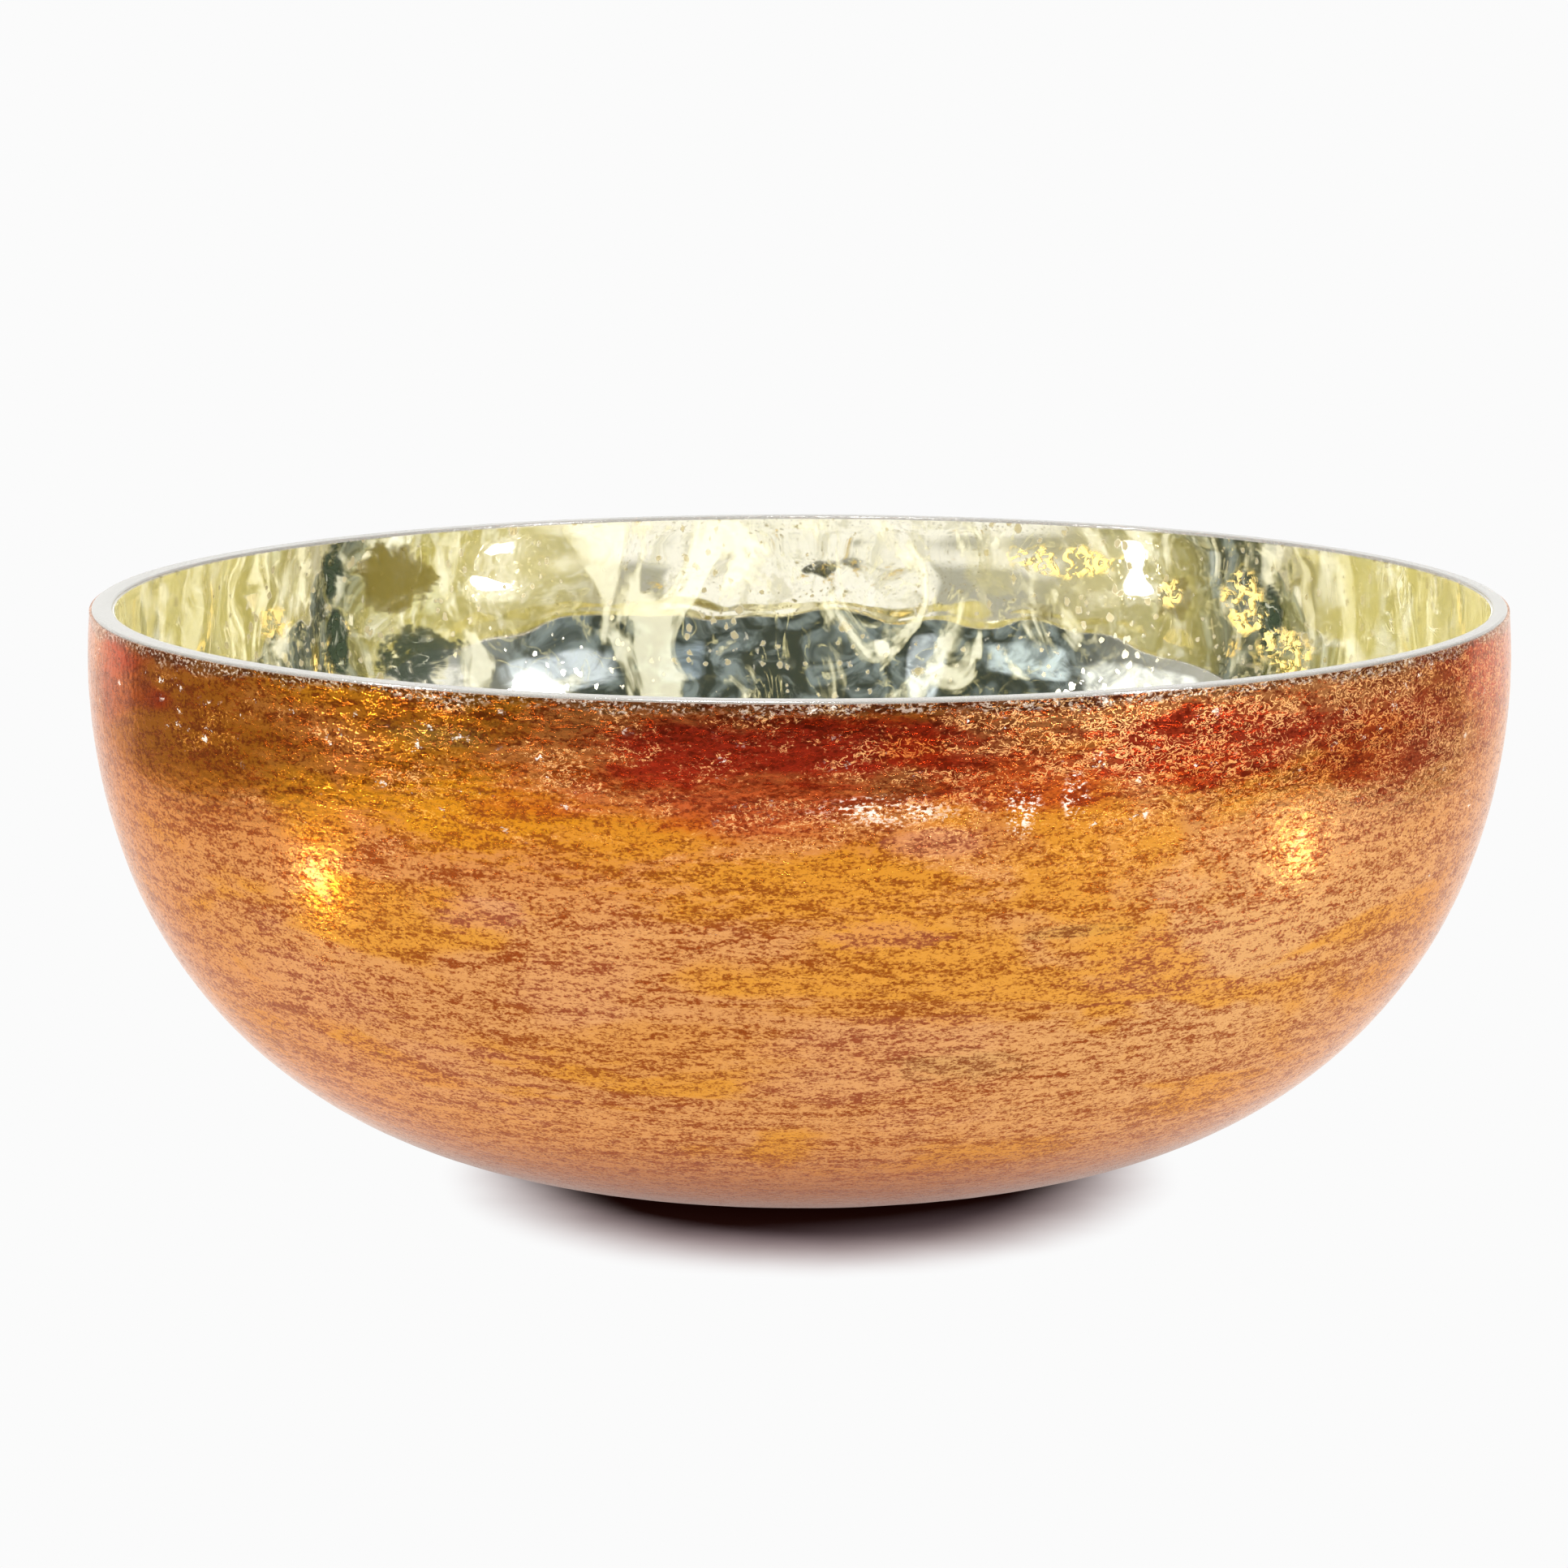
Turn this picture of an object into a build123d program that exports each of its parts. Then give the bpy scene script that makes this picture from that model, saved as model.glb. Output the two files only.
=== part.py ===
"""Silvered glass bowl with a copper lustre outside, in millimetres.

The bowl stands on its flat foot at Z = 0, its axis is Z, and every piece is turned about that axis.
From the outside in, the wall is copper lustre, clear glass, silver film and amber lacquer. Each piece
follows the same turned outline, drawn at its own depth, so neighbours meet face to face.
"""

from build123d import *

import os
from math import asin, cos, degrees, radians, sin

# Driving dimensions of the finished bowl
outer_diameter = 254.0  # across the widest level, over the lustre
height = 100.0  # foot to rim
widest_level = 89.5  # height at which the wall stands upright
flat_diameter = 88.0  # flat part of the base, and of the floor inside
foot_diameter = 78.0  # ground glass disc that the lustre leaves bare
belly_turn = 70.0  # degrees that the belly arc turns before the flatter wall arc takes over

# Thickness of each layer, and how far the ground foot keeps the lustre off the table
foot_lift = 0.2
lustre_thickness = 0.4
glass_wall = 3.1
glass_base = 5.0
silver_thickness = 0.3
lacquer_thickness = 0.3

# Rim
rim_polish_radius = 0.4  # rounding of both edges of the glass rim
lustre_margin = 0.5  # bare glass left between the rim and the top of the lustre
silver_margin = 0.6  # the same for the silver inside
lacquer_margin = 0.8  # the lacquer stops a little lower than the silver

# Depth of each surface below the outside of the bowl
glass_outside = lustre_thickness
glass_inside = glass_outside + glass_wall
silver_inside = glass_inside + silver_thickness
lacquer_inside = silver_inside + lacquer_thickness

# Height of the flat part of each surface
lustre_underside = foot_lift
glass_underside = lustre_underside + lustre_thickness
glass_floor = glass_underside + glass_base
silver_floor = glass_floor + silver_thickness
lacquer_floor = silver_floor + lacquer_thickness

outer_radius = outer_diameter / 2
flat_radius = flat_diameter / 2
foot_radius = foot_diameter / 2


def wall_outline(depth, floor, top):
    """The belly arc and the wall arc of one surface, from the edge of its flat floor up to `top`.

    The belly arc leaves the floor level, turns by `belly_turn` and runs on into the wall arc without a
    corner. The wall arc stands upright at the widest level and leans in above it. Both radii follow
    from how far the surface reaches out from its flat floor and how far it rises to the widest level.
    """
    reach = outer_radius - depth - flat_radius
    rise = widest_level - floor
    across, up = sin(radians(belly_turn)), cos(radians(belly_turn))
    belly_radius = (reach * up - rise * (1 - across)) / (across + up - 1)
    wall_radius = (rise * across - reach * (1 - up)) / (across + up - 1)
    lean = degrees(asin((top - widest_level) / wall_radius))

    belly = CenterArc((flat_radius, floor + belly_radius), belly_radius, -90, belly_turn)
    wall_centre = (outer_radius - depth - wall_radius, widest_level)
    wall = CenterArc(wall_centre, wall_radius, belly_turn - 90, 90 - belly_turn + lean)
    return belly, wall


def turned(*edges):
    """The solid turned by a closed outline whose X is the radius and whose Y is the height."""
    return revolve(Plane.XZ * make_face(edges), Axis.Z, 360)


def skin(outer_depth, outer_floor, inner_depth, inner_floor, top, bore_radius=0.0):
    """A layer between two surfaces of the wall, with its edge level with `top`.

    With a bore radius its bottom has a round opening of that size.
    """
    outer_belly, outer_wall = wall_outline(outer_depth, outer_floor, top)
    inner_belly, inner_wall = wall_outline(inner_depth, inner_floor, top)
    return turned(
        Line((bore_radius, outer_floor), outer_belly @ 0),
        outer_belly,
        outer_wall,
        Line(outer_wall @ 1, inner_wall @ 1),
        inner_wall,
        inner_belly,
        Line(inner_belly @ 0, (bore_radius, inner_floor)),
        Line((bore_radius, inner_floor), (bore_radius, outer_floor)),
    )


def glass_bowl():
    """The clear glass, with its ground foot and a rim polished round at both edges."""
    wall = skin(glass_outside, glass_underside, glass_inside, glass_floor, height)
    rim_face = wall.faces().sort_by(Axis.Z)[-1]
    wall = fillet(rim_face.edges(), rim_polish_radius)
    foot = Pos(0, 0, glass_underside / 2) * Cylinder(foot_radius, glass_underside)
    return wall + foot


def copper_lustre():
    """The crackled copper coat on the outside, open where the foot is ground."""
    top = height - lustre_margin
    return skin(0, lustre_underside, glass_outside, glass_underside, top, bore_radius=foot_radius)


def silver_film():
    """The mirror on the inside of the glass."""
    return skin(glass_inside, glass_floor, silver_inside, silver_floor, height - silver_margin)


def amber_lacquer():
    """The tinted lacquer that seals the silver."""
    return skin(silver_inside, silver_floor, lacquer_inside, lacquer_floor, height - lacquer_margin)


os.makedirs("parts", exist_ok=True)
for piece in (glass_bowl, copper_lustre, silver_film, amber_lacquer):
    export_step(piece(), f"parts/{piece.__name__}.step")
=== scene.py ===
"""Looks of a silvered glass bowl with a crackled copper lustre outside.

The bowl has four pieces: the clear glass, the copper lustre on its outside, the silver film on its
inside and the stained amber lacquer over the silver. Each piece is drawn as a half section, turned
about the bowl's axis, and then made slightly uneven, as blown glass is. All sizes are in metres.
"""

import bpy
from math import asin, cos, pi, radians, sin, sqrt
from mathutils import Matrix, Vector


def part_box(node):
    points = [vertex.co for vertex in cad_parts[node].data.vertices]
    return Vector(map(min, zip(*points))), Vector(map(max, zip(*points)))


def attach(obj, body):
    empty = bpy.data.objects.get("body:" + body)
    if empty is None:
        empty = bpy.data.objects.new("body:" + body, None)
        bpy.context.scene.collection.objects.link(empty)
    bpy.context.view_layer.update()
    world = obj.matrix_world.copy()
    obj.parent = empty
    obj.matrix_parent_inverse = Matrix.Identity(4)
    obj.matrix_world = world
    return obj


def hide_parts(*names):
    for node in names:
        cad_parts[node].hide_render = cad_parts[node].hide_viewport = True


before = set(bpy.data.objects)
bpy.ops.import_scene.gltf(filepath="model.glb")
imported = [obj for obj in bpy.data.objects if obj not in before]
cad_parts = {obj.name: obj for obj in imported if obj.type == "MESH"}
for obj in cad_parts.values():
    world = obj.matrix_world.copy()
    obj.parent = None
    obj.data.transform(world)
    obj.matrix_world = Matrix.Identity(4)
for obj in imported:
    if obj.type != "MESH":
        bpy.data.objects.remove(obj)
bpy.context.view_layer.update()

bl_info = {
    "name": "Silvered Glass Bowl",
    "version": (1, 0, 0),
    "blender": (4, 5, 0),
    "location": "View3D > Sidebar > Glass Bowl",
    "description": "Makes a silvered glass bowl with a copper lustre outside, and a pale studio around it",
    "category": "Object",
}

BODY = "root"

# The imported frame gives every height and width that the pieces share
_, GLASS_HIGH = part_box("glass_bowl")
LUSTRE_LOW, LUSTRE_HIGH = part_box("copper_lustre")
SILVER_LOW, SILVER_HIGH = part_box("silver_film")
LACQUER_LOW, LACQUER_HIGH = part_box("amber_lacquer")

OUTER_RADIUS = LUSTRE_HIGH.x
RIM = GLASS_HIGH.z
MILLIMETRE = 0.001
MERGE_DISTANCE = MILLIMETRE / 1000
SMOOTH_ANGLE = radians(35)
# The share of a wall's steps that the belly arc takes
BELLY_SHARE = 0.7
GLASS_TURN_STEPS = 360
LUSTRE_TURN_STEPS = 720
FILM_TURN_STEPS = 540
RIM_WAVE_SIZE = 0.11
COAT_RELIEF_SIZE = 0.005
# How far below the rim its waves fade out, and the waves of the mirror fade in
RIM_WAVE_FADE = 0.02
MIRROR_WAVE_FADE = 0.008
GLASS_IOR = 1.5
PAPER_WHITE = (0.965, 0.965, 0.965, 1.0)
# Edge colour of the painted shadow on the table
PAINTED_SHADOW_ROSE = (0.9, 0.7, 0.68, 1.0)


# Settings


class BowlShape(bpy.types.PropertyGroup):
    """The turned outline that all four pieces follow."""

    flat_radius: bpy.props.FloatProperty(
        name="Flat radius", description="Radius of the flat part of the base", default=0.044, unit="LENGTH"
    )
    foot_radius: bpy.props.FloatProperty(
        name="Foot radius", description="Radius of the bare ground foot", default=0.039, unit="LENGTH"
    )
    widest_level: bpy.props.FloatProperty(
        name="Widest level", description="Height at which the wall stands upright", default=0.0895,
        unit="LENGTH",
    )
    belly_turn: bpy.props.FloatProperty(
        name="Belly turn", description="Turn of the belly arc", default=radians(70), subtype="ANGLE"
    )
    glass_underside: bpy.props.FloatProperty(
        name="Glass underside", description="Height of the glass above the table, beside the foot",
        default=0.0006, precision=5, unit="LENGTH",
    )
    rim_round: bpy.props.FloatProperty(
        name="Rim rounding", description="Radius of the polished rim edges", default=0.0004,
        precision=5, unit="LENGTH",
    )


class HandWork(bpy.types.PropertyGroup):
    """How far the blown and dipped bowl strays from a true turned one."""

    wall_shift: bpy.props.FloatProperty(
        name="Wall shift", description="How far the inside sits off the axis, so one wall is thicker",
        default=0.00055, precision=5, unit="LENGTH",
    )
    rim_dip: bpy.props.FloatProperty(
        name="Rim dip", description="Depth of the slow waves along the rim", default=0.0006,
        precision=5, unit="LENGTH",
    )
    mirror_wave: bpy.props.FloatProperty(
        name="Mirror wave", description="Depth of the waves in the mirror", default=0.0005,
        precision=5, unit="LENGTH",
    )
    mirror_wave_size: bpy.props.FloatProperty(
        name="Mirror wave size", description="Length of the waves in the mirror", default=0.024,
        precision=4, unit="LENGTH",
    )
    coat_relief: bpy.props.FloatProperty(
        name="Coat relief", description="Depth of the raised grain of the copper coat", default=0.00012,
        precision=5, unit="LENGTH",
    )


def colour_setting(name, description, default):
    """A colour that the sidebar shows."""
    return bpy.props.FloatVectorProperty(
        name=name, description=description, default=default, size=3, min=0, max=1, subtype="COLOR"
    )


class Finishes(bpy.types.PropertyGroup):
    """Colours of the coats."""

    copper: colour_setting("Copper", "Main colour of the lustre", (0.62, 0.17, 0.01))
    amber: colour_setting("Amber", "Yellow parts of the lustre", (0.72, 0.27, 0.004))
    umber: colour_setting("Umber", "Brown parts of the lustre", (0.5, 0.15, 0.004))
    maroon: colour_setting("Maroon", "Dark red parts of the lustre", (0.5, 0.006, 0.002))
    # This dark colour also serves as the painted shade near the foot
    dash: colour_setting("Dash", "Short dark gaps in the lustre", (0.2, 0.018, 0.002))
    peach: colour_setting("Peach", "Pale grain on top of the lustre", (0.77, 0.4, 0.15))
    straw: colour_setting("Straw", "Pale grain over amber and umber", (0.78, 0.33, 0.022))
    rose: colour_setting("Rose", "Pink parts of the lustre", (0.72, 0.26, 0.13))
    olive: colour_setting("Olive", "Green-brown parts of the lustre", (0.34, 0.24, 0.05))
    scuff: colour_setting("Scuff", "Bare, scraped flecks", (0.82, 0.76, 0.66))
    silver: colour_setting("Silver", "Clean mirror", (0.95, 0.93, 0.88))
    tarnish: colour_setting("Tarnish", "Aged mirror", (0.88, 0.87, 0.76))
    spot: colour_setting("Age spot", "Small spots in the mirror", (0.24, 0.18, 0.04))
    stain: colour_setting("Stain", "Dark stains in the lacquer", (0.012, 0.02, 0.008))
    veil: colour_setting("Veil", "The lacquer where it is thick", (0.36, 0.31, 0.08))
    umber_stain: colour_setting("Umber stain", "Brown stains in the lacquer", (0.1, 0.075, 0.008))
    haze: colour_setting("Haze", "Milky swirls in the lacquer", (0.66, 0.64, 0.5))
    gold: colour_setting("Gold", "Gold flakes in the lacquer", (0.7, 0.5, 0.16))
    glass: colour_setting("Glass", "Tint of the clear glass", (0.5, 0.48, 0.44))


class Studio(bpy.types.PropertyGroup):
    """The table, the room and the camera."""

    table_half_width: bpy.props.FloatProperty(
        name="Table half width", description="Half the width of the white table", default=0.33, unit="LENGTH"
    )
    table_front: bpy.props.FloatProperty(
        name="Table front", description="Distance from the bowl's axis to the near edge", default=0.43,
        unit="LENGTH",
    )
    table_back: bpy.props.FloatProperty(
        name="Table back", description="Distance from the bowl's axis to the far edge", default=2.4,
        unit="LENGTH",
    )
    camera_distance: bpy.props.FloatProperty(
        name="Camera distance", description="From the middle of the rim to the camera", default=0.9144,
        unit="LENGTH",
    )
    camera_rise: bpy.props.FloatProperty(
        name="Camera rise", description="Angle of the camera above the rim", default=radians(7.493),
        subtype="ANGLE",
    )
    camera_pitch: bpy.props.FloatProperty(
        name="Camera pitch", description="Angle that the camera looks down", default=radians(9.641),
        subtype="ANGLE",
    )
    camera_turn: bpy.props.FloatProperty(
        name="Camera turn", description="Angle that the camera turns left of the axis",
        default=radians(0.1721), subtype="ANGLE",
    )
    lens: bpy.props.FloatProperty(
        name="Lens", description="Focal length on a 36 mm sensor, in millimetres", default=116.73
    )


# The turned outline


def wall_radii(depth, floor):
    """Radii of the belly arc and the wall arc of the surface at this depth, over this floor height."""
    shape = bpy.context.scene.bowl_shape
    reach = OUTER_RADIUS - depth - shape.flat_radius
    rise = shape.widest_level - floor
    across, up = sin(shape.belly_turn), cos(shape.belly_turn)
    belly = (reach * up - rise * (1 - across)) / (across + up - 1)
    wall = (rise * across - reach * (1 - up)) / (across + up - 1)
    return belly, wall


def radius_at(level, depth, floor):
    """Radius of the surface at a height."""
    shape = bpy.context.scene.bowl_shape
    belly, wall = wall_radii(depth, floor)
    if level < floor:
        return shape.flat_radius
    if level < floor + belly * (1 - cos(shape.belly_turn)):
        return shape.flat_radius + sqrt(belly**2 - (floor + belly - level) ** 2)
    return OUTER_RADIUS - depth - wall + sqrt(wall**2 - (shape.widest_level - level) ** 2)


class Outline:
    """A half section drawn with the modelling tools: X is the radius and Z the height."""

    def __init__(self, name, radius, level):
        bpy.ops.object.select_all(action="DESELECT")
        bpy.ops.mesh.primitive_plane_add(size=MILLIMETRE, location=(radius, 0, level))
        bpy.ops.object.transform_apply(location=True)
        self.piece = bpy.context.active_object
        self.piece.name = name
        self.radius, self.level = radius, level
        bpy.ops.object.mode_set(mode="EDIT")
        bpy.ops.mesh.select_all(action="SELECT")
        bpy.ops.mesh.merge(type="CENTER")

    def line(self, radius, level, steps=1):
        """A straight run to a new point."""
        step = ((radius - self.radius) / steps, 0, (level - self.level) / steps)
        for _ in range(steps):
            bpy.ops.mesh.extrude_region_move(TRANSFORM_OT_translate={"value": step})
        self.radius, self.level = radius, level

    def arc(self, centre_radius, centre_level, angle, steps):
        """An arc about a centre. A positive angle turns from outwards to upwards."""
        centre = (centre_radius, 0, centre_level)
        bpy.ops.mesh.spin(steps=steps, angle=angle, center=centre, axis=(0, 1, 0))
        x, z = self.radius - centre_radius, self.level - centre_level
        self.radius = centre_radius + x * cos(angle) - z * sin(angle)
        self.level = centre_level + x * sin(angle) + z * cos(angle)

    def wall_up(self, depth, floor, top, steps):
        """The belly arc and the wall arc, from the flat floor up to a height."""
        shape = bpy.context.scene.bowl_shape
        belly, wall = wall_radii(depth, floor)
        lean = asin((top - shape.widest_level) / wall)
        belly_steps = round(steps * BELLY_SHARE)
        self.arc(shape.flat_radius, floor + belly, shape.belly_turn, belly_steps)
        rest = pi / 2 - shape.belly_turn + lean
        self.arc(OUTER_RADIUS - depth - wall, shape.widest_level, rest, steps - belly_steps)

    def wall_down(self, depth, floor, steps):
        """The same two arcs from where the outline is now down to the flat floor."""
        shape = bpy.context.scene.bowl_shape
        belly, wall = wall_radii(depth, floor)
        lean = asin((self.level - shape.widest_level) / wall)
        belly_steps = round(steps * BELLY_SHARE)
        rest = pi / 2 - shape.belly_turn + lean
        self.arc(OUTER_RADIUS - depth - wall, shape.widest_level, -rest, steps - belly_steps)
        self.arc(shape.flat_radius, floor + belly, -shape.belly_turn, belly_steps)

    def turned(self, steps):
        """The piece turned all the way about the bowl's axis."""
        bpy.ops.mesh.select_all(action="SELECT")
        bpy.ops.mesh.remove_doubles(threshold=MERGE_DISTANCE)
        bpy.ops.object.mode_set(mode="OBJECT")
        bpy.ops.object.modifier_add(type="SCREW")
        modifier = self.piece.modifiers[-1]
        modifier.axis = "Z"
        modifier.steps = modifier.render_steps = steps
        modifier.use_merge_vertices = True
        modifier.merge_threshold = MERGE_DISTANCE
        bpy.ops.object.modifier_apply(modifier=modifier.name)
        bpy.ops.object.mode_set(mode="EDIT")
        bpy.ops.mesh.select_all(action="SELECT")
        bpy.ops.mesh.remove_doubles(threshold=MERGE_DISTANCE)
        bpy.ops.mesh.normals_make_consistent(inside=False)
        bpy.ops.object.mode_set(mode="OBJECT")
        bpy.ops.object.shade_smooth_by_angle(angle=SMOOTH_ANGLE)
        return self.piece


def weight_group(piece, name, weight):
    """A vertex group whose weight at each vertex is weight(place, normal)."""
    group = piece.vertex_groups.new(name=name)
    for vertex in piece.data.vertices:
        amount = min(max(weight(vertex.co, vertex.normal), 0), 1)
        if amount > 0:
            group.add([vertex.index], amount, "REPLACE")
    return group


def displace(piece, group, pattern, depth, direction="NORMAL"):
    """Moves a group of vertices along their normals, or along an axis, by a cloudy pattern."""
    bpy.ops.object.modifier_add(type="DISPLACE")
    modifier = piece.modifiers[-1]
    modifier.texture = pattern
    modifier.texture_coords = "LOCAL"
    modifier.direction = direction
    modifier.vertex_group = group.name
    modifier.mid_level = 0
    modifier.strength = depth
    bpy.ops.object.modifier_apply(modifier=modifier.name)


def clouds(name, size, depth):
    """A soft three-dimensional pattern with features of about this size."""
    pattern = bpy.data.textures.new(name, "CLOUDS")
    pattern.noise_basis = "IMPROVED_PERLIN"
    pattern.noise_scale = size
    pattern.noise_depth = depth
    return pattern


def facing_in(place, normal):
    """How far a normal turns to the inside of the bowl."""
    radius = max(sqrt(place.x**2 + place.y**2), MILLIMETRE)
    return normal.z - (normal.x * place.x + normal.y * place.y) / radius


def below_rim(place, depth):
    """0 at the rim and 1 from this depth down."""
    share = min(max((RIM - place.z) / depth, 0), 1)
    return share * share * (3 - 2 * share)


def dip_rim(piece):
    """Gives the top of a wall the slow waves of a hand-finished rim."""
    hand = bpy.context.scene.hand_work
    group = weight_group(piece, "rim", lambda place, normal: 1 - below_rim(place, RIM_WAVE_FADE))
    displace(piece, group, clouds("rim waves", RIM_WAVE_SIZE, 0), -hand.rim_dip, "Z")
    piece.vertex_groups.clear()


def wave_mirror(piece):
    """Gives the visible side of a film on the inside the waves of blown glass."""
    hand = bpy.context.scene.hand_work

    def weight(place, normal):
        return below_rim(place, MIRROR_WAVE_FADE) if facing_in(place, normal) > 0 else 0

    group = weight_group(piece, "mirror", weight)
    displace(piece, group, clouds("mirror waves", hand.mirror_wave_size, 1), hand.mirror_wave)
    piece.vertex_groups.clear()


def move_inside(piece, chosen):
    """Shifts the chosen vertices sideways, which makes one wall thicker than the other."""
    bpy.ops.object.mode_set(mode="EDIT")
    bpy.ops.mesh.select_all(action="DESELECT")
    bpy.ops.object.mode_set(mode="OBJECT")
    for vertex in piece.data.vertices:
        vertex.select = chosen(vertex.co)
    bpy.ops.object.mode_set(mode="EDIT")
    bpy.ops.mesh.select_mode(type="VERT")
    shift = bpy.context.scene.hand_work.wall_shift
    bpy.ops.transform.translate(value=(shift, 0, 0))
    bpy.ops.object.mode_set(mode="OBJECT")


def hand_over(piece, node, finish):
    """Puts the finished piece in place of its node."""
    piece.data.materials.clear()
    piece.data.materials.append(finish)
    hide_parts(node)
    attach(piece, BODY)


# Finishes


class Value:
    """A number that shader nodes work out, for use in Python expressions."""

    def __init__(self, finish, socket):
        self.finish = finish
        self.socket = socket

    def maths(self, operation, first, second=None):
        inputs = {0: first} if second is None else {0: first, 1: second}
        return self.finish.node("ShaderNodeMath", {"operation": operation}, inputs)

    def __add__(self, other):
        return self.maths("ADD", self, other)

    def __radd__(self, other):
        return self.maths("ADD", other, self)

    def __sub__(self, other):
        return self.maths("SUBTRACT", self, other)

    def __rsub__(self, other):
        return self.maths("SUBTRACT", other, self)

    def __mul__(self, other):
        return self.maths("MULTIPLY", self, other)

    def __rmul__(self, other):
        return self.maths("MULTIPLY", other, self)

    def __truediv__(self, other):
        return self.maths("DIVIDE", self, other)

    def __rtruediv__(self, other):
        return self.maths("DIVIDE", other, self)

    def __pow__(self, other):
        return self.maths("POWER", self, other)

    def __abs__(self):
        return self.maths("ABSOLUTE", self)

    def or_more(self, other):
        return self.maths("MAXIMUM", self, other)


class Finish:
    """A node tree that is being built, with the patterns that the finishes share."""

    def __init__(self, tree):
        self.tree = tree
        self.tree.nodes.clear()

    def node(self, kind, settings=None, inputs=None, output=0):
        """Adds a node: its settings first, then the values or links of its sockets."""
        node = self.tree.nodes.new(kind)
        for name, value in (settings or {}).items():
            setattr(node, name, value)
        for name, value in (inputs or {}).items():
            socket = node.inputs[name]
            if isinstance(value, Value):
                self.tree.links.new(value.socket, socket)
            else:
                socket.default_value = value
        return Value(self, node.outputs[output]) if node.outputs else node

    def parts(self, vector):
        """The three numbers of a vector."""
        split = self.node("ShaderNodeSeparateXYZ", inputs={0: vector})
        return [Value(self, output) for output in split.socket.node.outputs]

    def joined(self, x, y, z):
        return self.node("ShaderNodeCombineXYZ", inputs={0: x, 1: y, 2: z})

    def step(self, value, low, high):
        """0 below low, 1 above high, and a smooth ramp between them."""
        inputs = {"Value": value, "From Min": low, "From Max": high}
        return self.node("ShaderNodeMapRange", {"interpolation_type": "SMOOTHSTEP"}, inputs)

    def noise(self, place, scale, detail=2.0, roughness=0.5, distortion=0.0):
        inputs = {
            "Vector": place,
            "Scale": scale,
            "Detail": detail,
            "Roughness": roughness,
            "Distortion": distortion,
        }
        return self.node("ShaderNodeTexNoise", {"noise_dimensions": "3D"}, inputs)

    def cells(self, place, scale):
        """The distance to the nearest of many scattered points."""
        inputs = {"Vector": place, "Scale": scale, "Randomness": 1.0}
        return self.node("ShaderNodeTexVoronoi", {"feature": "F1"}, inputs)

    def mix(self, share, first, second):
        """Two colours mixed."""
        node = self.tree.nodes.new("ShaderNodeMix")
        node.data_type = "RGBA"
        for socket, value in ((node.inputs[0], share), (node.inputs[6], first), (node.inputs[7], second)):
            if isinstance(value, Value):
                self.tree.links.new(value.socket, socket)
            else:
                socket.default_value = value
        return Value(self, node.outputs[2])


def rgba(colour):
    return (*colour, 1.0)


class SurfaceFinish(Finish):
    """A material, with coordinates that wrap round the bowl."""

    def __init__(self, name, depth=0.0, floor=0.0):
        self.material = bpy.data.materials.new(name)
        self.material.use_nodes = True
        super().__init__(self.material.node_tree)
        self.depth, self.floor = depth, floor
        self.place = self.node("ShaderNodeTexCoord", output=3)
        x, y, z = (part / MILLIMETRE for part in self.parts(self.place))
        self.x, self.y, self.height = x, y, z
        radius = (x * x + y * y).or_more(0.01) ** 0.5
        turn = OUTER_RADIUS / MILLIMETRE / radius
        # Millimetres round the bowl, and millimetres up the wall
        self.round_x, self.round_y, self.along = x * turn, y * turn, z + radius

    def wrapped(self, stretch):
        """Coordinates that follow the wall, whose patterns are this many times longer round the bowl."""
        return self.joined(self.round_x, self.round_y, self.along * stretch)

    def near(self, angle, level, width, rise, blur, ragged):
        """1 close to a point on the wall, fading out over an uneven edge. Sizes are in millimetres."""
        radius = radius_at(level * MILLIMETRE, self.depth, self.floor) / MILLIMETRE
        dx = (self.x - radius * sin(radians(angle))) / width
        dy = (self.y + radius * cos(radians(angle))) / width
        dz = (self.height - level) / rise
        distance = (dx * dx + dy * dy + dz * dz) ** 0.5
        return 1 - self.step(distance + (blur - 0.5) * ragged, 0.55, 1.15)

    def any_near(self, places, blur, ragged=1.4):
        """The largest of several patches. Each is (angle, level, width, rise, strength)."""
        masks = [self.near(*place[:4], blur, ragged) * place[4] for place in places]
        total = masks[0]
        for mask in masks[1:]:
            total = total.or_more(mask)
        return total

    def bump(self, height, distance, strength):
        inputs = {"Strength": strength, "Distance": distance, "Height": height}
        return self.node("ShaderNodeBump", inputs=inputs)

    def surface(self, **inputs):
        """The main shader. Keyword names are its sockets, with spaces written as underscores."""
        named = {name.replace("_", " "): value for name, value in inputs.items()}
        shader = self.node("ShaderNodeBsdfPrincipled", inputs=named)
        self.node("ShaderNodeOutputMaterial", inputs={"Surface": shader})
        return self.material


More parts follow.
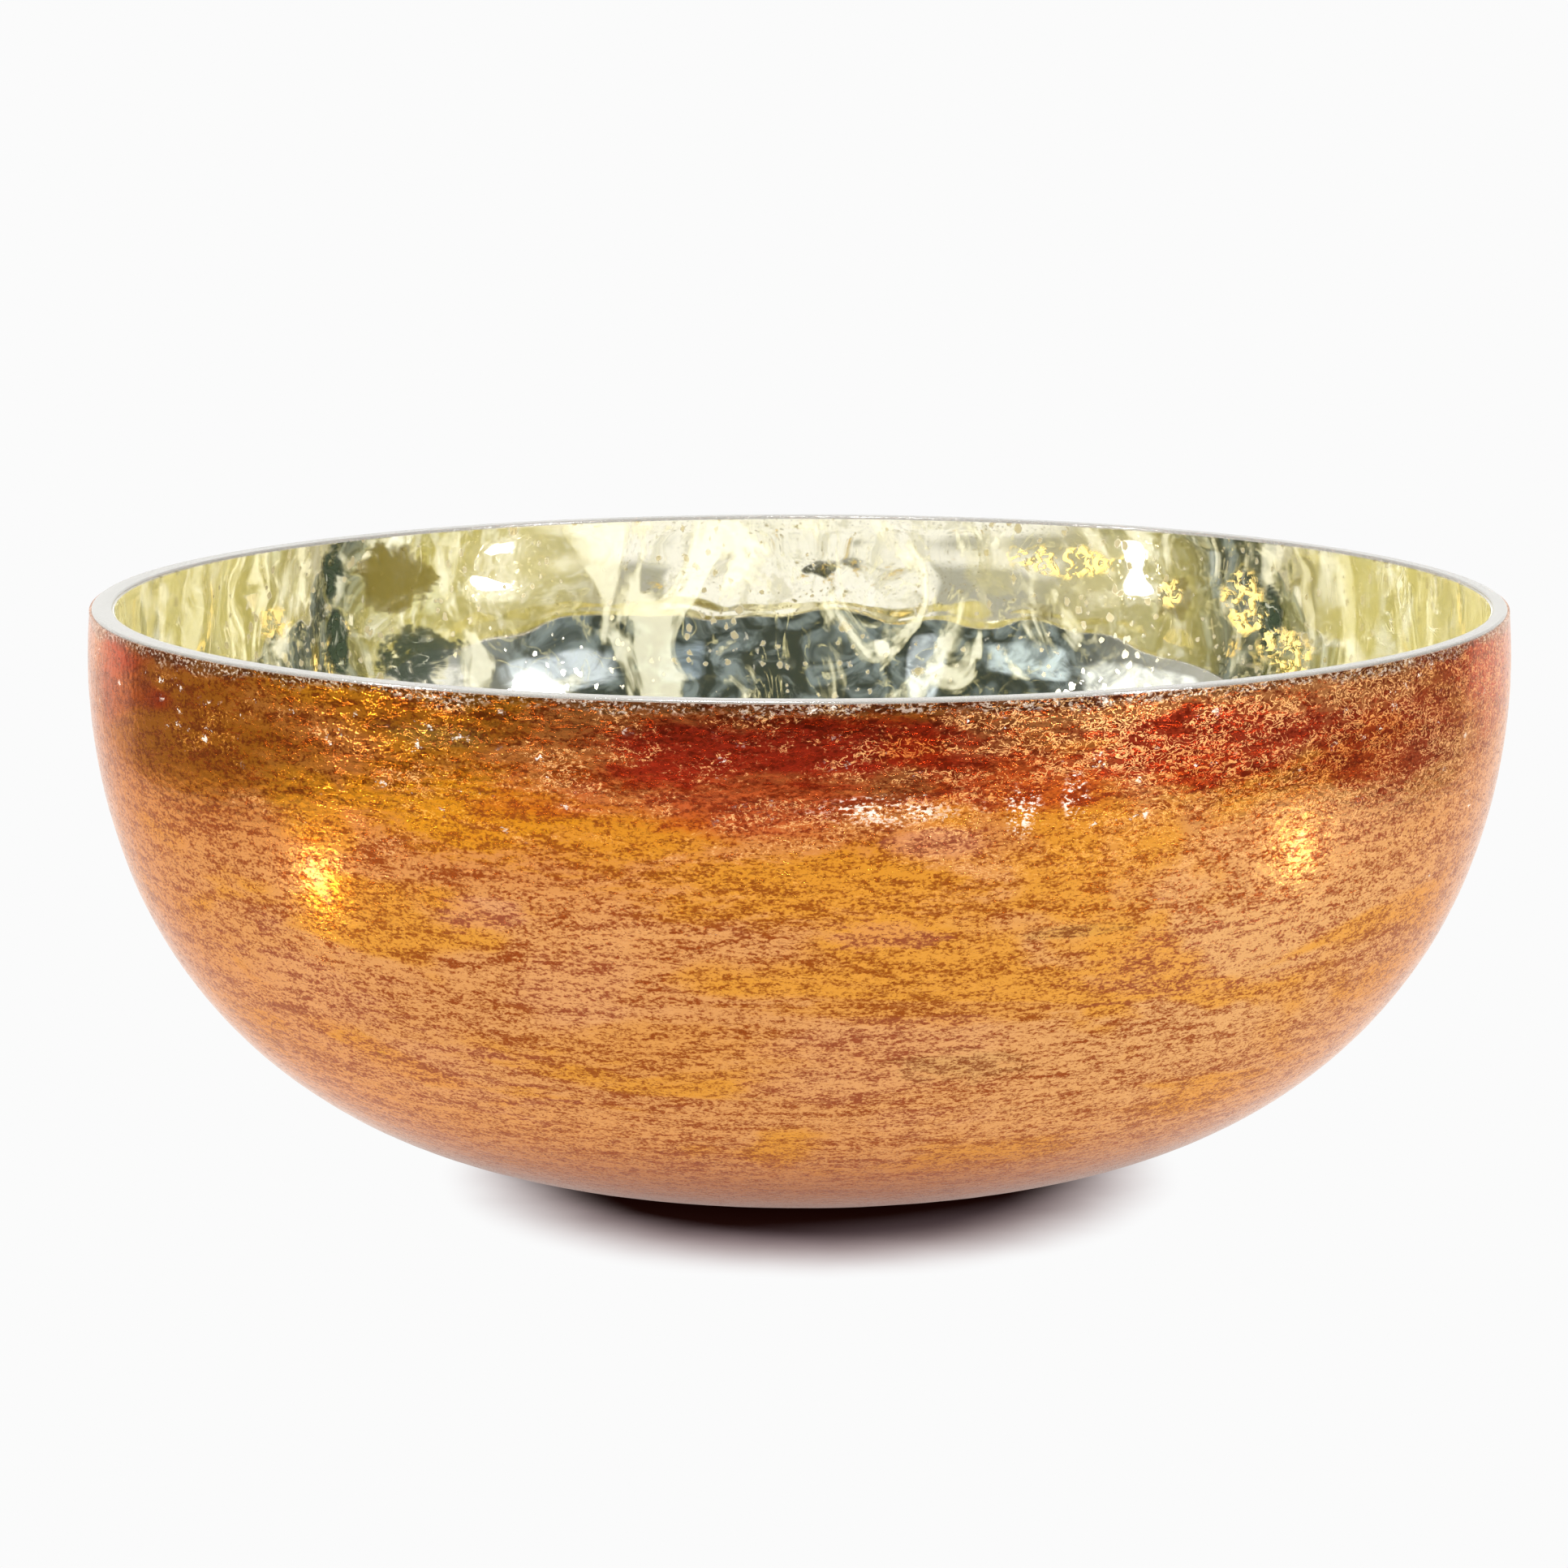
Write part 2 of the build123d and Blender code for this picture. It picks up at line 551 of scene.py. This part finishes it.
def copper_finish():
    """Crackled metallic lacquer: pale grain over copper, amber, rose and maroon grounds."""
    colours = bpy.context.scene.finishes
    f = SurfaceFinish("copper lustre", floor=LUSTRE_LOW.z)
    zones = f.noise(f.wrapped(2.4), 0.016, 3.0, 0.55, 0.6)
    patches = f.noise(f.wrapped(3.2), 0.055, 4.0, 0.65, 0.6)
    wisps = f.noise(f.wrapped(9.0), 0.035, 4.0, 0.6, 0.3)
    tones = f.noise(f.wrapped(2.6), 0.26, 5.0, 0.72, 0.5)
    threads = f.noise(f.wrapped(1.8), 0.42, 3.0, 0.6, 1.4)
    cracks = f.noise(f.wrapped(3.4), 0.3, 3.0, 0.6, 0.9)
    fine = f.noise(f.wrapped(1.5), 1.3, 3.0, 0.6)
    edge = patches * 0.45 + wisps * 0.25 + tones * 0.3

    amber_zone = f.any_near(
        ((-25, 81, 25, 8, 1), (-12, 78, 18, 5, 0.8), (8, 92, 7, 3, 1), (20, 84, 9, 3.5, 0.8),
         (2, 70, 34, 7, 0.8), (12, 50, 30, 5, 0.5), (-12, 40, 30, 8, 0.3)), edge, 4)
    amber_zone = amber_zone.or_more(f.step(zones, 0.52, 0.62) * 0.8)
    umber_zone = f.any_near(((-56, 88, 40, 13, 1), (-28, 94, 20, 4.5, 0.9), (62, 92, 22, 9, 0.4)), edge, 3)
    maroon_zone = f.any_near(
        ((-8, 91, 17, 6.5, 1), (3, 92, 26, 6, 1), (31, 90, 32, 7.5, 1), (50, 87, 28, 10, 0.9),
         (-4, 83, 20, 6, 0.6), (14, 87, 28, 6, 0.7)), edge, 2.5)
    maroon_zone = maroon_zone.or_more(f.step(zones, 0.45, 0.36) * f.step(f.height, 72, 90))
    rose_zone = f.any_near(
        ((-24, 63, 9, 3.5, 1), (10, 77, 7, 3.5, 1), (-36, 32, 26, 9, 0.8), (-46, 43, 22, 11, 0.8),
         (6, 62, 10, 3, 0.8), (4, 36, 18, 5, 0.6), (34, 54, 26, 7, 0.7), (-3, 14, 40, 5, 0.6),
         (48, 74, 16, 6, 0.6)), edge, 5)
    rose_zone = rose_zone.or_more(f.step(zones, 0.44, 0.36) * f.step(f.height, 75, 45) * 0.7)
    olive_zone = f.any_near(
        ((14, 38, 11, 3, 0.8), (21, 61, 11, 1.6, 1), (-27, 92, 11, 2.5, 0.8), (7, 87, 5, 3, 0.8)), edge, 5)
    olive_zone = olive_zone.or_more(f.step(patches, 0.66, 0.76) * 0.6)

    ground = f.mix(amber_zone, rgba(colours.copper), rgba(colours.amber))
    ground = f.mix(umber_zone * 0.8, ground, rgba(colours.umber))
    ground = f.mix(rose_zone * 0.8, ground, rgba(colours.rose))
    ground = f.mix(maroon_zone * 0.9, ground, rgba(colours.maroon))
    ground = f.mix(olive_zone * 0.7, ground, rgba(colours.olive))
    upper = f.step(f.height, 58, 84)
    warm = amber_zone.or_more(umber_zone)
    grain = f.mix(warm * 0.85, rgba(colours.peach), rgba(colours.straw))
    ground = f.mix(f.step(f.height, 74, 92) * f.step(f.x, -70, 0) * 0.45, ground, rgba(colours.maroon))
    # Painted shade: the ground darkens towards the foot
    ground = f.mix(f.step(f.height, 24, 4) * 0.4, ground, rgba(colours.dash))
    shade = f.mix(0.75, ground, rgba(colours.dash))
    share = 0.66 - 0.42 * upper - 0.12 * warm + 0.3 * f.step(f.x, 0, 80)
    light = f.mix(share * (1 - 0.8 * maroon_zone), ground, grain)

    # The ground is lighter and darker in drawn-out wisps
    tone = f.step(tones + (wisps - 0.5) * 0.5 + (fine - 0.5) * 0.8, 0.34, 0.58)
    colour = f.mix(tone, shade, light)

    # Thin pale threads in all directions on top
    pale = f.step(abs(threads - 0.5), 0.04, 0.015) * f.step(fine * 0.5 + patches + f.x * 0.0012, 0.72, 0.85)
    pale = pale * (0.3 + 0.65 * upper)
    thread = f.mix(warm * 0.6, rgba(colours.peach), rgba(colours.straw))
    colour = f.mix(pale * (0.9 - 0.4 * warm), colour, thread)

    # Short dark cracks, drawn out round the bowl
    gaps = f.step(abs(cracks - 0.44), 0.03, 0.006) * f.step(fine + (tones - 0.5) * 0.4, 0.57, 0.45)
    gaps = gaps.or_more(f.step(cracks, 0.36, 0.3))
    colour = f.mix(gaps * 0.9, colour, f.mix(0.2, rgba(colours.dash), ground))

    # Scraped flecks and a scraped patch in the upper part of the wall
    speck = f.cells(f.wrapped(1.5), 0.2) + (fine - 0.5) * 1.2
    flecks = f.step(speck, 0.13, 0.02) * f.step(patches + f.height * 0.005, 0.93, 1.06)
    scraped = f.any_near(((7, 82, 15, 2.4, 1), (16, 82, 3, 4, 1), (20, 84, 2, 5, 1)), edge, 4)
    scraped = scraped * f.step(fine + threads * 0.5 + tones * 0.8, 1.16, 1.3)
    # Painted shade darkens the coat near the foot; just below the bare rim the coat is darker and flecked
    lip = f.step(f.height + (patches - 0.5) * 7, 97.0, 98.6)
    colour = f.mix(f.step(f.height, 26, 3) * 0.85, colour, rgba(colours.dash))
    colour = f.mix(lip * 0.5, colour, rgba(colours.stain))
    lip = lip * f.step(fine + threads * 0.3, 0.66, 0.76)
    scuffed = flecks.or_more(scraped).or_more(lip * 0.55)
    colour = f.mix(scuffed * 0.85, colour, rgba(colours.scuff))

    blisters = f.cells(f.wrapped(1.3), 0.62)
    height = blisters * 0.5 + fine * 0.1 + tones * 0.4 - gaps * 0.15
    return f.surface(
        Base_Color=colour,
        Metallic=0.95 - 0.5 * scuffed.or_more(pale * 0.8),
        Roughness=0.15 + 0.2 * pale + 0.2 * gaps,
        Normal=f.bump(height, 0.00014, 0.7),
        Specular_Tint=(0.92, 0.64, 0.5, 1.0),
        Coat_Weight=0.26,
        Coat_Roughness=0.06,
        Coat_IOR=1.35,
    )


def silver_finish():
    """Aged mirror with small brown spots and cloudy tarnish."""
    colours = bpy.context.scene.finishes
    depth = OUTER_RADIUS - LACQUER_HIGH.x
    f = SurfaceFinish("silver film", depth, LACQUER_LOW.z)
    haze = f.noise(f.wrapped(0.7), 0.03, 4.0, 0.6, 0.8)
    mottle = f.noise(f.wrapped(0.9), 0.45, 3.0, 0.65, 0.6)
    density = f.noise(f.wrapped(1.0), 0.04, 2.0)
    small = f.cells(f.wrapped(0.8), 0.34) + (mottle - 0.5) * 0.7
    large = f.cells(f.wrapped(0.9), 0.07) + (mottle - 0.5) * 0.25
    reach = 0.06 + 0.16 * f.step(density, 0.4, 0.62)
    spots = f.step(small - reach, 0.06, -0.03) * 0.8
    spots = spots.or_more(f.step(large, 0.11, 0.06) * 0.85)
    tarnish = f.step(haze + (mottle - 0.5) * 0.7 + 0.16 * f.step(f.y, 80, 118), 0.45, 0.7)
    colour = f.mix(tarnish * 0.6, rgba(colours.silver), rgba(colours.tarnish))
    colour = f.mix(spots, colour, rgba(colours.spot))
    return f.surface(
        Base_Color=colour,
        Metallic=1.0 - 0.4 * spots,
        Roughness=0.012 + 0.02 * tarnish + 0.3 * spots,
    )


def lacquer_finish():
    """Clear amber lacquer with drips, dark stains and gold flakes."""
    colours = bpy.context.scene.finishes
    depth = OUTER_RADIUS - LACQUER_HIGH.x
    f = SurfaceFinish("amber lacquer", depth, LACQUER_LOW.z)
    zones = f.noise(f.wrapped(1.0), 0.022, 2.0, 0.5, 0.5)
    blur = f.noise(f.wrapped(1.0), 0.12, 4.0, 0.65, 0.8)
    mottle = f.noise(f.wrapped(1.0), 0.4, 3.0, 0.65, 0.8)
    drips = f.noise(f.wrapped(0.22), 0.28, 3.0, 0.6, 0.6)
    swirls = f.noise(f.wrapped(0.6), 0.09, 3.0, 0.5, 2.0)
    front = f.step(f.y, -20, -60)

    dark = f.any_near(
        ((228.5, 92, 3, 7, 1), (228, 80, 3.5, 9, 1), (219, 75, 11, 6, 0.8), (131.5, 84, 3.5, 7, 1),
         (135, 91, 3, 3, 0.7)), blur, 2.6)
    dark = dark.or_more(f.step(zones, 0.66, 0.7) * f.step(f.height, 40, 70) * front)
    dark = dark * f.step(mottle + blur, 0.74, 0.92)
    brown = f.any_near(((221, 91, 9, 7.5, 1), (161, 90, 6, 8, 0.15), (142.5, 86, 5, 6, 0.6)), blur, 2.2)
    brown = brown.or_more(f.step(zones, 0.3, 0.24) * front)
    flakes = f.any_near(
        ((134.5, 87, 6, 7, 1), (154, 92, 14, 3.2, 1), (129, 78, 9, 5, 0.9), (236, 85, 7, 4, 0.5),
         (143, 87, 3, 4, 0.8)), blur, 1.6)
    flakes = flakes.or_more(f.step(zones, 0.6, 0.64) * f.step(blur, 0.55, 0.6) * front)
    flakes = flakes * f.step(mottle, 0.46, 0.54)
    # Partly painted reflection: the lacquer is thicker towards the left and right ends, and its olive-gold
    # there also stands in for the gold tint that repeated reflections in the mirror give
    ends = f.step(f.x, 84, 118).or_more(f.step(f.x, -98, -124))
    lines = f.step(abs(swirls - 0.5), 0.02, 0.004) * f.step(blur, 0.42, 0.6)
    lines = lines * (0.2 + 0.25 * ends) * (1 - brown)
    runs = f.step(drips, 0.5, 0.66) * (0.02 + 0.4 * ends)
    clouds = f.step(f.noise(f.wrapped(0.6), 0.06, 4.0, 0.6, 1.5), 0.5, 0.62) * (0.3 - 0.1 * ends)
    veil = 0.02 + 0.36 * ends

    colour = f.mix(clouds * 3, rgba(colours.veil), rgba(colours.haze))
    colour = f.mix(f.step(brown, 0.1, 0.5), colour, rgba(colours.umber_stain))
    colour = f.mix(f.step(dark, 0.1, 0.5), colour, rgba(colours.stain))
    colour = f.mix(f.step(flakes, 0.1, 0.5), colour, rgba(colours.gold))
    colour = f.mix(lines * 1.6 * (1 - flakes), colour, rgba(colours.haze))
    cover = veil.or_more(runs).or_more(lines).or_more(clouds)
    cover = cover.or_more(brown * 0.8).or_more(dark * 0.95).or_more(flakes * 0.9)
    return f.surface(
        Base_Color=colour,
        Roughness=0.35,
        Alpha=cover,
        Normal=f.bump(mottle * flakes, 0.0006, 0.6),
        IOR=GLASS_IOR,
        Specular_IOR_Level=0.2,
    )


def glass_finish():
    """Clear, slightly grey glass with fine scratches."""
    colours = bpy.context.scene.finishes
    f = SurfaceFinish("clear glass")
    scratches = f.noise(f.wrapped(6.0), 0.6, 3.0, 0.6)
    return f.surface(
        Base_Color=rgba(colours.glass),
        Roughness=0.12,
        Normal=f.bump(scratches, 0.0004, 0.2),
        Transmission_Weight=0.7,
        IOR=GLASS_IOR,
    )


# Pieces


class GlassBowl(bpy.types.Operator):
    """Make the clear glass: wall, base, ground foot and polished rim"""

    bl_idname = "glass_bowl.glass"
    bl_label = "Clear Glass"

    def execute(self, context):
        shape = context.scene.bowl_shape
        depth, floor = OUTER_RADIUS - GLASS_HIGH.x, shape.glass_underside
        inner_depth, inner_floor = OUTER_RADIUS - SILVER_HIGH.x, SILVER_LOW.z
        shoulder = RIM - shape.rim_round
        outline = Outline("glass_bowl_blown", 0, 0)
        outline.line(shape.foot_radius, 0, 8)
        outline.line(shape.foot_radius, floor)
        outline.line(shape.flat_radius, floor)
        outline.wall_up(depth, floor, shoulder, 64)
        outline.arc(outline.radius - shape.rim_round, shoulder, pi / 2, 6)
        land_end = radius_at(shoulder, inner_depth, inner_floor) + shape.rim_round
        outline.line(land_end, RIM, 2)
        outline.arc(land_end, shoulder, pi / 2, 6)
        outline.wall_down(inner_depth, inner_floor, 64)
        outline.line(0, inner_floor, 8)
        piece = outline.turned(GLASS_TURN_STEPS)

        def inside(place):
            middle = radius_at(place.z, (depth + inner_depth) / 2, (floor + inner_floor) / 2)
            return sqrt(place.x**2 + place.y**2) < middle and place.z > (floor + inner_floor) / 2

        move_inside(piece, inside)
        dip_rim(piece)
        hand_over(piece, "glass_bowl", glass_finish())
        return {"FINISHED"}


class CopperLustre(bpy.types.Operator):
    """Make the crackled copper coat on the outside"""

    bl_idname = "glass_bowl.lustre"
    bl_label = "Copper Lustre"

    def execute(self, context):
        shape = context.scene.bowl_shape
        floor, inner_floor = LUSTRE_LOW.z, shape.glass_underside
        inner_depth = OUTER_RADIUS - GLASS_HIGH.x
        outline = Outline("copper_lustre_crackled", shape.foot_radius, floor)
        outline.line(shape.flat_radius, floor, 2)
        outline.wall_up(0, floor, LUSTRE_HIGH.z, 96)
        outline.line(radius_at(LUSTRE_HIGH.z, inner_depth, inner_floor), LUSTRE_HIGH.z)
        outline.wall_down(inner_depth, inner_floor, 20)
        outline.line(shape.foot_radius, inner_floor)
        outline.line(shape.foot_radius, floor)
        piece = outline.turned(LUSTRE_TURN_STEPS)

        def outside(place, normal):
            return 1 if facing_in(place, normal) < 0 else 0

        group = weight_group(piece, "coat", outside)
        relief = clouds("coat relief", COAT_RELIEF_SIZE, 2)
        displace(piece, group, relief, -context.scene.hand_work.coat_relief)
        piece.vertex_groups.clear()
        dip_rim(piece)
        hand_over(piece, "copper_lustre", copper_finish())
        return {"FINISHED"}


def make_film(name, low, high, depth, inner_depth):
    """A film on the inside of the glass, between two depths."""
    shape = bpy.context.scene.bowl_shape
    inner_floor = low.z + inner_depth - depth
    outline = Outline(name, 0, low.z)
    outline.line(shape.flat_radius, low.z)
    outline.wall_up(depth, low.z, high.z, 16)
    outline.line(radius_at(high.z, inner_depth, inner_floor), high.z)
    outline.wall_down(inner_depth, inner_floor, 90)
    outline.line(0, inner_floor, 16)
    piece = outline.turned(FILM_TURN_STEPS)
    move_inside(piece, lambda place: True)
    wave_mirror(piece)
    dip_rim(piece)
    return piece


class SilverFilm(bpy.types.Operator):
    """Make the mirror on the inside of the glass"""

    bl_idname = "glass_bowl.silver"
    bl_label = "Silver Film"

    def execute(self, context):
        depth, inner_depth = OUTER_RADIUS - SILVER_HIGH.x, OUTER_RADIUS - LACQUER_HIGH.x
        piece = make_film("silver_film_aged", SILVER_LOW, SILVER_HIGH, depth, inner_depth)
        hand_over(piece, "silver_film", silver_finish())
        return {"FINISHED"}


class AmberLacquer(bpy.types.Operator):
    """Make the stained lacquer over the silver"""

    bl_idname = "glass_bowl.lacquer"
    bl_label = "Amber Lacquer"

    def execute(self, context):
        depth = OUTER_RADIUS - LACQUER_HIGH.x
        inner_depth = depth + LACQUER_LOW.z - SILVER_LOW.z
        piece = make_film("amber_lacquer_stained", LACQUER_LOW, LACQUER_HIGH, depth, inner_depth)
        hand_over(piece, "amber_lacquer", lacquer_finish())
        return {"FINISHED"}


# Studio


def area_light(name, place, target, width, height, power, colour=(1, 1, 1)):
    """A soft light that the camera doesn't see."""
    bpy.ops.object.light_add(type="AREA", location=place)
    lamp = bpy.context.active_object
    lamp.name = name
    lamp.rotation_euler = (Vector(target) - Vector(place)).to_track_quat("-Z", "Y").to_euler()
    lamp.data.shape = "ELLIPSE"
    lamp.data.size, lamp.data.size_y = width, height
    lamp.data.energy = power
    lamp.data.color = colour
    lamp.visible_camera = False
    return lamp


def around(angle, rise, distance, level=0.08):
    """A place at an angle to the right of the camera side, and at a rise over the bowl."""
    flat = distance * cos(radians(rise))
    x, y = flat * sin(radians(angle)), -flat * cos(radians(angle))
    return (x, y, level + distance * sin(radians(rise)))


def room():
    """The room that the bowl mirrors: white behind and above, dim with windows on the camera's side."""
    world = bpy.data.worlds.new("studio room")
    world.use_nodes = True
    bpy.context.scene.world = world
    f = Finish(world.node_tree)
    direction = f.node("ShaderNodeTexCoord", output=0)
    x, y, z = f.parts(direction)
    flat = (x * x + y * y).or_more(0.0001) ** 0.5
    behind = y / flat
    shapes = f.noise(direction, 4.0, 3.0, 0.6, 0.8)
    detail = f.noise(direction, 9.0, 4.0, 0.6, 1.0)
    dim = f.mix(f.step(detail, 0.42, 0.66), (0.025, 0.04, 0.045, 1), (0.24, 0.3, 0.32, 1))
    sides = f.mix(f.step(behind, -0.72, -0.2), dim, (0.5, 0.5, 0.46, 1))
    colour = f.mix(f.step(z, 0.0, -0.06), sides, (0.42, 0.4, 0.38, 1))
    # Each window is (angle, rise, width, height, brightness)
    for angle, rise, width, height, light in (
        (-66, 15, 22, 10, (1.3, 1.35, 1.3, 1)),
        (-42, 13, 16, 8, (0.8, 0.95, 1.0, 1)),
        (-24, 16, 6, 14, (1.1, 1.25, 1.4, 1)),
        (-14, 12, 4, 4, (1.2, 1.2, 1.1, 1)),
        (22, 14, 8, 9, (0.35, 0.45, 0.55, 1)),
        (46, 14, 20, 8, (0.8, 0.9, 1.0, 1)),
        (70, 14, 14, 9, (1.0, 1.0, 0.95, 1)),
    ):
        turn = radians(angle)
        across = (x * cos(turn) + y * sin(turn)) / sin(radians(width / 2))
        up = (z - sin(radians(rise))) / sin(radians(height / 2))
        ahead = f.step(x * sin(turn) - y * cos(turn), 0.0, 0.1)
        inside = f.step((across**4 + up**4) + (shapes - 0.5) * 4, 1.6, 0.2) * ahead
        colour = f.mix(inside * (0.3 + f.step(detail, 0.35, 0.6) * 0.7), colour, light)
    bright = f.step(behind, 0.66, 0.71) * f.step(z, -0.3, -0.1)
    bright = bright.or_more(f.step(z - 0.3 * f.step(behind, 0.0, -0.8), 0.42, 0.6))
    mirrored = f.mix(bright, colour, (1.2, 1.2, 1.17, 1))
    path = f.node("ShaderNodeLightPath")
    seen = f.node("ShaderNodeBackground", inputs={"Color": PAPER_WHITE, "Strength": 1.0})
    off_camera = f.node("ShaderNodeBackground", inputs={"Color": mirrored, "Strength": 1.0})
    shader = f.node("ShaderNodeMixShader", inputs={0: path, 1: off_camera, 2: seen})
    f.node("ShaderNodeOutputWorld", inputs={"Surface": shader})


class StudioStage(bpy.types.Operator):
    """Make the white table, the lights, the room and the camera"""

    bl_idname = "glass_bowl.stage"
    bl_label = "Studio"

    def execute(self, context):
        studio = context.scene.studio
        self.table(studio)
        self.lights()
        self.camera(studio)
        room()
        context.scene.view_settings.view_transform = "Standard"
        context.scene.cycles.max_bounces = 24
        context.scene.cycles.glossy_bounces = 12
        context.scene.cycles.transparent_max_bounces = 48
        return {"FINISHED"}

    def table(self, studio):
        bpy.ops.object.select_all(action="DESELECT")
        middle = (studio.table_back - studio.table_front) / 2
        bpy.ops.mesh.primitive_plane_add(size=1, location=(0, middle, 0))
        table = bpy.context.active_object
        table.name = "table"
        table.scale = (2 * studio.table_half_width, studio.table_back + studio.table_front, 1)
        bpy.ops.object.transform_apply(location=True, scale=True)
        # The picture is exposed for a white table. To the camera the table glows an even white, with a
        # painted shadow under the bowl: a dark diffuse patch inside and a pale rose edge
        f = SurfaceFinish("white table")
        paper = f.noise(f.place, 60.0, 3.0)
        rounding = (f.x * f.x + f.y * f.y) ** 0.5 + (paper - 0.5) * 3
        forward = ((f.x - 2) * (f.x - 2) * 1.3 + (f.y + 25) * (f.y + 25)) ** 0.5 + (paper - 0.5) * 3
        # Mask of the painted shadow: 0 under the bowl, rising to 1 on the open table
        open_table = f.step(rounding, 43, 62) * f.step(forward, 44, 76)
        white = f.node("ShaderNodeEmission", inputs={"Color": f.mix(open_table, PAINTED_SHADOW_ROSE, PAPER_WHITE)})
        shadow = f.node("ShaderNodeBsdfDiffuse", inputs={"Color": rgba((0.08, 0.06, 0.065))})
        seen = f.node("ShaderNodeMixShader", inputs={0: open_table, 1: shadow, 2: white})
        # In reflections the table glows white, with painted shade that darkens it to a dull red close to the
        # bowl
        off_camera = f.mix(f.step(rounding, 40, 88), rgba((0.15, 0.06, 0.05)), (1.1, 1.1, 1.07, 1))
        glow = f.node("ShaderNodeEmission", inputs={"Color": off_camera})
        path = f.node("ShaderNodeLightPath")
        shader = f.node("ShaderNodeMixShader", inputs={0: path, 1: glow, 2: seen})
        f.node("ShaderNodeOutputMaterial", inputs={"Surface": shader})
        table.data.materials.append(f.material)

    def lights(self):
        centre = (0, 0, 0.05)
        area_light("overhead", (-0.16, -0.5, 1.05), centre, 0.45, 0.45, 20)
        area_light("window left", around(-64, 21, 1.3), centre, 0.3, 0.17, 24)
        area_light("window right", around(53, 20, 1.3), centre, 0.2, 0.28, 26)
        warm = (1.0, 0.85, 0.5)
        area_light("strip left", (-0.196, -0.096, 0.003), (-0.196, -0.096, 1), 0.05, 0.008, 0.02, warm)
        area_light("strip right", (0.24, -0.095, 0.003), (0.24, -0.095, 1), 0.055, 0.008, 0.025, warm)

    def camera(self, studio):
        away = studio.camera_distance * cos(studio.camera_rise)
        level = RIM + studio.camera_distance * sin(studio.camera_rise)
        turn = (pi / 2 - studio.camera_pitch, 0, studio.camera_turn)
        bpy.ops.object.camera_add(location=(0, -away, level), rotation=turn)
        camera = bpy.context.active_object
        camera.data.sensor_width = 36
        camera.data.lens = studio.lens
        camera.data.dof.use_dof = False
        bpy.context.scene.camera = camera


class BowlPanel(bpy.types.Panel):
    """The bowl's pieces and settings in the 3D view's sidebar"""

    bl_idname = "VIEW3D_PT_glass_bowl"
    bl_label = "Silvered Glass Bowl"
    bl_space_type = "VIEW_3D"
    bl_region_type = "UI"
    bl_category = "Glass Bowl"

    def draw(self, context):
        scene = context.scene
        for group in (scene.bowl_shape, scene.hand_work, scene.finishes, scene.studio):
            box = self.layout.box()
            for name in group.__annotations__:
                box.prop(group, name)
        for operator in OPERATORS:
            self.layout.operator(operator.bl_idname)


SETTINGS = {"bowl_shape": BowlShape, "hand_work": HandWork, "finishes": Finishes, "studio": Studio}
OPERATORS = (GlassBowl, CopperLustre, SilverFilm, AmberLacquer, StudioStage)


def register():
    for item in (*SETTINGS.values(), *OPERATORS, BowlPanel):
        bpy.utils.register_class(item)
    for name, group in SETTINGS.items():
        setattr(bpy.types.Scene, name, bpy.props.PointerProperty(type=group))


def unregister():
    for name in SETTINGS:
        delattr(bpy.types.Scene, name)
    for item in (BowlPanel, *reversed(OPERATORS), *SETTINGS.values()):
        bpy.utils.unregister_class(item)


def main():
    register()
    bpy.ops.glass_bowl.glass()
    bpy.ops.glass_bowl.lustre()
    bpy.ops.glass_bowl.silver()
    bpy.ops.glass_bowl.lacquer()
    bpy.ops.glass_bowl.stage()


if __name__ == "__main__":
    main()
